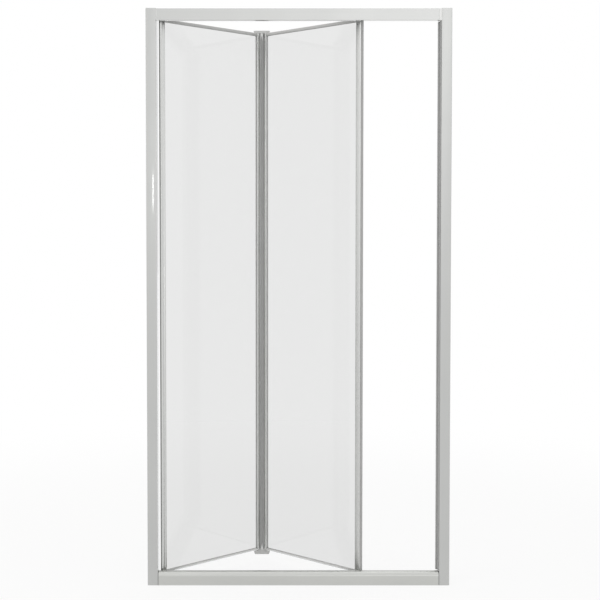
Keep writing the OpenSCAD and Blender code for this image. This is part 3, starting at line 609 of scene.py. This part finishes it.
def finishMesh(mesh):
    # seams and poles are closed, and every face turned outwards
    work = bmesh.new()
    work.from_mesh(mesh)
    bmesh.ops.remove_doubles(work, verts=work.verts, dist=mend["merge"])
    bmesh.ops.delete(work, geom=[edge for edge in work.edges if not edge.link_faces], context="EDGES")
    bmesh.ops.recalc_face_normals(work, faces=work.faces)
    work.to_mesh(mesh)
    work.free()
    shadeSmooth(mesh)


def showPiece(piece, node):
    scene.collection.objects.link(piece)
    piece.data.materials.clear()
    piece.data.materials.append(finishFor(node))
    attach(piece, bodyOf[node])
    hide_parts(node)


def makePiece(name, node, points, quads, ends=(), start=(0, 0, 0), axes=straight):
    placed = (np.array(start) + points.reshape(-1, 3) @ np.array(axes)) / 1000.0
    mesh = bpy.data.meshes.new(name)
    mesh.from_pydata(placed.tolist(), [], quads.tolist() + [list(end) for end in ends])
    finishMesh(mesh)
    piece = bpy.data.objects.new(name, mesh)
    # large flat faces shade flat beside small arcs
    weighted = piece.modifiers.new("flatFaces", "WEIGHTED_NORMAL")
    weighted.keep_sharp = True
    showPiece(piece, node)


def softCopy(node, width):
    # the node's own shape with its edges rounded a little, as extruding, moulding and grinding leave them
    mesh = nodes[node].data.copy()
    work = bmesh.new()
    work.from_mesh(mesh)
    bmesh.ops.remove_doubles(work, verts=work.verts, dist=mend["merge"])
    flat = math.radians(mend["flat"])
    bmesh.ops.dissolve_limit(work, angle_limit=flat, verts=work.verts, edges=work.edges)
    work.to_mesh(mesh)
    work.free()
    shadeSmooth(mesh)
    piece = bpy.data.objects.new(node + "Edged", mesh)
    bevel = piece.modifiers.new("edges", "BEVEL")
    bevel.width = width / 1000.0
    bevel.segments = 2
    bevel.limit_method = "ANGLE"
    bevel.angle_limit = math.radians(mend["sharp"])
    bevel.use_clamp_overlap = False
    bevel.harden_normals = True
    showPiece(piece, node)


# Strike: grooved base and a raised holder on the right jamb

strikeLow, strikeHigh = boxOf("strike_profile")
strike = {
    "face": strikeHigh[0], "proud": strikeHigh[0] - strikeLow[0],
    "start": strikeLow[2], "end": strikeHigh[2], "chamfer": 0.4,
    "baseHalf": strikeHigh[1], "baseThick": 3.0, "baseRound": 1.0,
    "centre": 4.0, "half": 8.0, "round": 1.5,  # of the raised holder
    "magnetHalf": 4.5, "magnetDeep": 2.5,  # of its slot for the magnet strip
    "groovePitch": 3.0, "grooveDeep": 0.4, "grooveFade": 1.5,  # they fade out over the last of these
    "steps": 5,  # points in each millimetre of the grooves
}


def grooved(look, start, end):
    # the base's thickness less a raised cosine to the third power at each groove, faded out at both ends
    y = np.linspace(start, end, int(abs(end - start) * look["steps"]))
    fade = np.clip(np.minimum(np.abs(y - start), np.abs(end - y)) / look["grooveFade"], 0, 1)
    wave = 0.5 - 0.5 * np.cos(2 * np.pi * (y - start) / look["groovePitch"])
    return np.stack([look["baseThick"] - look["grooveDeep"] * fade * wave ** 3, y], axis=1)


def strikeOutline(look):
    # depth out of the jamb over the way along it: base with grooves, arcs at every outer corner
    thick, half, small = look["baseThick"], look["baseHalf"], look["baseRound"]
    proud, large = look["proud"], look["round"]
    low, high = look["centre"] - look["half"], look["centre"] + look["half"]
    near, far = look["centre"] - look["magnetHalf"], look["centre"] + look["magnetHalf"]
    recess = proud - look["magnetDeep"]
    outline = np.concatenate([
        [[0.0, -half]],
        arc((thick - small, -half + small), small, -90, 0, 5),
        grooved(look, -half + small, low),
        arc((proud - large, low + large), large, -90, 0, 7),
        [[proud, near], [recess, near], [recess, far], [proud, far]],
        arc((proud - large, high - large), large, 0, 90, 7),
        grooved(look, high, half - small),
        arc((thick - small, half - small), small, 0, 90, 5),
        [[0.0, half]],
    ])
    return np.stack([look["face"] - outline[:, 0], outline[:, 1]], axis=1)[::-1]


makePiece("strikeRail", "strike_profile", *carry(strikeOutline(strike), strike))


# Magnet strips: flexible ribbon in the strike, and the lipped seal in the closing edge

magnet = {
    "start": strike["start"], "end": strike["end"], "chamfer": 0.3,
    "half": strike["magnetHalf"], "thick": strike["magnetDeep"],
    "flutes": 3, "fluteDeep": 0.3, "steps": 49,
}
sealLow, sealHigh = boxOf("closing_magnet_seal")
seal = {
    "start": sealLow[2], "end": sealHigh[2], "chamfer": 0.3,
    "back": 6.5, "front": 10.5, "half": 4.5,  # back and front are counted from the stile's own pin axis
    "lip": 3.3, "lipWide": 0.9, "hollow": 0.7, "steps": 61,
}


def ribbonOutline(look):
    # a flat back and a front whose height dips by a squared raised cosine at each flute
    v = np.linspace(-look["half"], look["half"], look["steps"])
    turn = 2 * np.pi * look["flutes"] * (v / (2 * look["half"]) + 0.5)
    dip = look["fluteDeep"] * (0.5 - 0.5 * np.cos(turn)) ** 2
    front = np.stack([look["thick"] - dip, v], axis=1)
    return np.concatenate([[[0.0, -look["half"]]], front, [[0.0, look["half"]]]])


def sealOutline(look):
    # a flat back and a front that lies back by the hollow, less a bell curve around each of its two lips
    v = np.linspace(-look["half"], look["half"], look["steps"])
    lip = np.exp(-(((np.abs(v) - look["lip"]) / look["lipWide"]) ** 2))
    front = np.stack([look["front"] - look["hollow"] * (1 - lip), v], axis=1)
    return np.concatenate([[[look["back"], -look["half"]]], front, [[look["back"], look["half"]]]])


ribbon = ribbonOutline(magnet)
ribbonX = strike["face"] - strike["proud"] + magnet["thick"]
ribbonPlaced = np.stack([ribbonX - ribbon[:, 0], ribbon[:, 1] + strike["centre"]], axis=1)[::-1]
makePiece("strikeRibbon", "strike_magnet", *carry(ribbonPlaced, magnet))

sealPlaced = sealOutline(seal) + np.array([panel["length"], 0.0])
makePiece("closingSeal", "closing_magnet_seal", *carry(sealPlaced, seal), slideStart, rightward)


# Panes with ground edges, in U-shaped gaskets whose lips are round

gasketLow, gasketHigh = boxOf("pivot_glass_gaskets")
gasket = {
    "start": gasketLow[2], "end": gasketHigh[2], "chamfer": 0.2,
    "back": 6.0, "seat": 7.25, "lip": 12.6,  # along the panel, from its pin axis
    "outer": 3.75, "inner": 2.5,  # half its width, and half its slot's
}
paneLow, paneHigh = boxOf("pivot_glass")
paneGap = 0.05  # between a pane's edges and what they sit in
pane = {
    "start": paneLow[2] + paneGap, "end": paneHigh[2] - paneGap, "chamfer": 0.6, "half": 2.48,
    "near": gasket["seat"] + paneGap, "far": panel["length"] - gasket["seat"] - paneGap,
}


def paneOutline(look):
    # a rectangle whose corners are arcs as small as the grinding leaves them
    small = look["chamfer"]
    near, far, side = look["near"] + small, look["far"] - small, look["half"] - small
    corners = ((far, -side, -90), (far, side, 0), (near, side, 90), (near, -side, 180))
    return np.concatenate([arc((u, v), small, turn, turn + 90, 4) for u, v, turn in corners])


def gasketOutline(look):
    # a U round the slot, whose two legs end in half circles
    radius = (look["outer"] - look["inner"]) / 2
    tip, middle = look["lip"] - radius, (look["outer"] + look["inner"]) / 2
    back, seat = look["back"], look["seat"]
    return np.concatenate([
        [[back, -look["outer"]]], arc((tip, -middle), radius, -90, 90, 9), [[seat, -look["inner"]]],
        [[seat, look["inner"]]], arc((tip, middle), radius, -90, 90, 9), [[back, look["outer"]]],
    ])


nearGasket = gasketOutline(gasket)
farGasket = (np.array([panel["length"], 0.0]) + nearGasket * np.array([-1.0, 1.0]))[::-1]
bothGaskets = together(carry(nearGasket, gasket), carry(farGasket, gasket))
for side, start, axes in panels:
    makePiece(side + "Pane", side + "_glass", *carry(paneOutline(pane), pane), start, axes)
    makePiece(side + "Gaskets", side + "_glass_gaskets", *bothGaskets, start, axes)


# Centre strip of the hinge: a round-faced bar with fine ribs

hingeStrip = {
    "start": stripLow[2], "end": stripHigh[2], "chamfer": 0.3,
    "half": 4.5, "straight": 0.5, "ribs": 26, "ribDeep": 0.22, "ribSteps": 8,
}


def stripOutline(look):
    # two half circles a little apart, with the radius dipping by a squared raised cosine at each rib
    turn = np.linspace(0.0, 2 * np.pi, look["ribs"] * look["ribSteps"], endpoint=False)
    radius = look["half"] - look["ribDeep"] * (0.5 - 0.5 * np.cos(look["ribs"] * turn)) ** 2
    apart = look["straight"] * np.sign(np.sin(turn))
    return np.stack([radius * np.cos(turn), radius * np.sin(turn) + apart], axis=1)


stripStart = (hingeStart + slideStart) / 2
makePiece("hingeStrip", "hinge_centre_strip", *carry(stripOutline(hingeStrip), hingeStrip), stripStart)


# Sweep seals: a flat flange with a thin fin that bends back as it hangs

sweepLow, sweepHigh = boxOf("pivot_sweep_seal")
sweep = {
    "start": 12.0, "end": 427.0, "chamfer": 0.2,  # along the panel
    "top": sweepHigh[2], "tip": sweepLow[2], "flangeThick": 1.0, "half": 3.75,
    "root": 0.62, "edge": 0.28, "bend": 0.9, "steps": 14,
}


def sweepOutline(look):
    # the fin's middle line bends with the square of its drop, and its half width runs from root to edge
    # with the drop to the power of 0.6
    flange, half = look["top"] - look["flangeThick"], look["half"]
    drop = np.linspace(0.0, 1.0, look["steps"])
    z = flange - drop * (flange - look["tip"])
    middle = look["bend"] * drop ** 2
    width = look["root"] + (look["edge"] - look["root"]) * drop ** 0.6
    left, right = np.stack([middle - width, z], axis=1), np.stack([middle + width, z], axis=1)
    corners = [[half, flange], [half, look["top"]], [-half, look["top"]], [-half, flange]]
    return np.concatenate([left, right[::-1], corners])


for side, start, axes in panels:
    # the profile lies across the panel, so its carrying axis is the panel's own length
    acrossPanel = (axes[1], axes[2], axes[0])
    makePiece(side + "Sweep", side + "_sweep_seal", *carry(sweepOutline(sweep), sweep), start, acrossPanel)
print("profiles ready")


# Cover caps: crowned, with a notch for a blade in the rim

coverCap = {
    "radius": 5.0, "height": 3.6, "crown": 0.3, "round": 1.2, "wall": 1.18, "inside": 2.42,
    "foot": (0.0, 0.5, 1.0), "notchDeep": 0.7, "notchWide": 0.28, "notchHigh": 0.8,
    "crownSteps": 8, "steps": 56,
}
fixing = {  # the caps and the screws under them stand on the back of each jamb
    "x": 485.0, "z": (150.0, 950.0, 1750.0), "back": boxOf("left_jamb")[1][1], "length": 10.0,
}


def capSurface(look):
    # outside from the rim to the middle, then inside back to the rim; the crown falls with the square of
    # the radius, and the foot dips in at the notch by e to the minus fourth power of the angle
    outer, top, steps = look["radius"], look["height"], look["steps"]
    crownOut = outer - look["round"]
    corner = arc((crownOut, top - look["crown"] - look["round"]), look["round"], 0, 90, 7)
    crownR = np.linspace(crownOut, 0.0, look["crownSteps"])
    crownH = top - look["crown"] * (crownR / crownOut) ** 2
    inner, inside = outer - look["wall"], look["inside"]
    footR = np.full(len(look["foot"]), outer)
    radius = np.concatenate([footR, corner[:, 0], crownR[1:], [0.0, inner, inner]])
    height = np.concatenate([look["foot"], corner[:, 1], crownH[1:], [inside, inside, 0.0]])
    points = spin(radius, height, steps)
    turn = np.linspace(-np.pi, np.pi, steps, endpoint=False)
    notched = ((height < look["notchHigh"]) & (radius > inner))[:, None]
    dip = look["notchDeep"] * np.exp(-((turn / look["notchWide"]) ** 4))[None, :] * notched
    scale = 1 - np.roll(dip, steps // 2, axis=1) / outer
    points[..., :2] *= scale[..., None]
    return points, gridQuads(len(radius), steps, closeRows=True)


fixingPlaces = [
    ((side * fixing["x"], fixing["back"], z), outOfBack) for side in (-1, 1) for z in fixing["z"]
]
makePiece("coverCaps", "screw_cover_caps", *repeatAt(*capSurface(coverCap), fixingPlaces))


# Screws: pan heads with a cross recess, and a rolled thread

screw = {
    "headHigh": 2.4, "crown": 0.35, "crownOut": 3.0, "crownSteps": 22,
    "rim": ((3.35, 0.62), (3.62, 1.0), (3.8, 1.5)),  # radius, and depth below the head's top
    "under": ((3.8, 0.15), (3.65, 0.0)),  # radius, and height above the seat
    "shank": 2.0, "neck": 0.3, "point": 1.2,  # radius, and the lengths left out at its two ends
    "tip": 0.3, "tipShare": 0.72,  # height of one more ring above the end, and its share of the radius
    "pitch": 1.5, "pitchSteps": 5, "threadDeep": 0.4,
    "plain": (0.2, 1.0),  # lengths without thread, under the head and at the end
    "crossWide": 0.62, "crossLong": 2.2, "crossDeep": 1.3,
    "crossZone": 0.5, "crossSlopes": (0.2, 0.4),  # how far below the top it cuts, and how wide its slopes are
    "steps": 40,
}
cornerFixing = {"x": 467.8, "y": -22.0, "z": (1869.5, 1889.5, 10.0, 26.0), "length": 19.8}
blockFixing = {  # heights of each screw's seat and its end
    "x": -435.5, "y": pivotStart[1], "topSeat": 1877.0, "topEnd": 1897.5, "lowSeat": 27.0, "lowEnd": 3.0,
}


def crossArm(along, across, look):
    # 1 inside one arm of the cross, falling to 0 over a short slope at its sides and its end
    sideSlope, endSlope = look["crossSlopes"]
    sides = np.clip((look["crossWide"] - across) / sideSlope + 0.5, 0, 1)
    return sides * np.clip((look["crossLong"] - along) / endSlope + 0.5, 0, 1)


def screwSurface(look, length):
    # the head from its middle out to the rim and under it, its crown falling with the square of the radius,
    # then a shank whose radius follows a helical raised cosine, then the point
    top, shank, steps = look["headHigh"], look["shank"], look["steps"]
    rim, under = np.array(look["rim"]), np.array(look["under"])
    crownR = np.linspace(0.0, look["crownOut"], look["crownSteps"])
    crownH = top - look["crown"] * (crownR / look["crownOut"]) ** 2
    shankSteps = int(length / look["pitch"] * look["pitchSteps"])
    shankH = -np.linspace(look["neck"], length - look["point"], shankSteps)
    headR = np.concatenate([crownR, rim[:, 0], under[:, 0], [shank]])
    headH = np.concatenate([crownH, top - rim[:, 1], under[:, 1], [0.0]])
    radius = np.concatenate([headR, np.full(shankSteps, shank), [shank * look["tipShare"], 0.0]])
    height = np.concatenate([headH, shankH, [look["tip"] - length, -length]])
    points = spin(radius, height, steps)
    turn = np.linspace(0.0, 2 * np.pi, steps, endpoint=False)
    wave = 0.5 - 0.5 * np.cos(2 * np.pi * (height[:, None] / look["pitch"] - turn / (2 * np.pi)))
    plainTop, plainEnd = look["plain"]
    threaded = ((height < -plainTop) & (height > plainEnd - length))[:, None]
    points[..., :2] *= (1 - look["threadDeep"] / shank * wave * threaded)[..., None]
    x, y = np.abs(points[..., 0]), np.abs(points[..., 1])
    arm = np.maximum(crossArm(x, y, look), crossArm(y, x, look))
    points[..., 2] -= look["crossDeep"] * arm * (height > top - look["crossZone"])[:, None]
    return points, gridQuads(len(radius), steps)


cornerPlaces = [
    ((side * cornerFixing["x"], cornerFixing["y"], z), outwards[side])
    for side in (-1, 1) for z in cornerFixing["z"]
]
fixingScrew, cornerScrew = screwSurface(screw, fixing["length"]), screwSurface(screw, cornerFixing["length"])
makePiece("fixingScrews", "jamb_fixing_screws", *repeatAt(*fixingScrew, fixingPlaces))
makePiece("cornerScrews", "corner_screws", *repeatAt(*cornerScrew, cornerPlaces))


def blockScrew(seat, end, axes):
    place = (blockFixing["x"], blockFixing["y"], blockFixing[seat])
    length = abs(blockFixing[end] - blockFixing[seat])
    return repeatAt(*screwSurface(screw, length), [(place, axes)])


topScrew, lowScrew = blockScrew("topSeat", "topEnd", downwards), blockScrew("lowSeat", "lowEnd", straight)
makePiece("blockScrews", "pivot_block_screws", *together(topScrew, lowScrew))


# Roller: a nylon wheel with round rims and a shallow web

rollerLow, rollerHigh = boxOf("guide_roller")
roller = {
    "low": rollerLow[2], "high": rollerHigh[2], "radius": 7.0, "rim": 1.0, "bore": 2.55, "boreSoft": 0.25,
    "web": 0.7, "webSlopes": (3.6, 3.9, 5.3, 5.6),  # the web's depth, and the radii where it falls and rises
    "steps": 72,
}


def rollerSurface(look):
    # a closed section turned round: bore, web, the quarter circle of the rim, tread, and the same back
    middle, half = (look["low"] + look["high"]) / 2, (look["high"] - look["low"]) / 2
    bore, soft, deep = look["bore"], look["boreSoft"], half - look["web"]
    rim = arc((look["radius"] - look["rim"], half - look["rim"]), look["rim"], 90, 0, 6)
    topR = np.concatenate([[bore, bore + soft], look["webSlopes"], rim[:, 0]])
    topH = np.concatenate([[half - soft, half, half, deep, deep, half], rim[:, 1]])
    radius = np.concatenate([topR, topR[::-1]])
    height = middle + np.concatenate([topH, -topH[::-1]])
    return spin(radius, height, look["steps"]), gridQuads(len(radius), look["steps"], closeRows=True)


makePiece("trackRoller", "guide_roller", *rollerSurface(roller), (), slideEnd)
print("screws, caps and roller ready")


# Every other part keeps its own shape, with softened edges, in millimetres
edges = {
    "left_jamb": 0.5, "right_jamb": 0.5, "top_rail": 0.5, "bottom_rail": 0.4,
    "left_wall_channel": 0.4, "right_wall_channel": 0.4,
    "top_left_end_block": 0.3, "top_right_end_block": 0.5,
    "bottom_left_end_block": 0.3, "bottom_right_end_block": 0.3,
    "top_pivot_block": 0.7, "bottom_pivot_block": 0.7, "top_pivot_bush": 0.3, "bottom_pivot_bush": 0.3,
    "fold_stop": 0.8,
    "pivot_stile": 0.3, "pivot_hinge_stile": 0.3, "slide_hinge_stile": 0.3, "closing_stile": 0.3,
    "pivot_top_trim": 0.4, "pivot_bottom_trim": 0.3, "slide_top_trim": 0.4, "slide_bottom_trim": 0.3,
    "pivot_stile_plugs": 0.3, "pivot_hinge_plugs": 0.3, "slide_hinge_plugs": 0.3, "closing_stile_plugs": 0.3,
    "top_pivot_pin": 0.5, "bottom_pivot_pin": 0.5, "hinge_pins": 0.4, "guide_pin": 0.5, "roller_pin": 0.25,
    "hinge_top_cap": 0.3, "hinge_bottom_cap": 0.3, "guide_shoe": 0.6,
}
for node, width in edges.items():
    softCopy(node, width)
print("%d parts with softened edges" % len(edges))


for name, piece in nodes.items():
    piece.data.materials.clear()
    piece.data.materials.append(finishFor(name))
print("materials on %d nodes" % len(nodes))
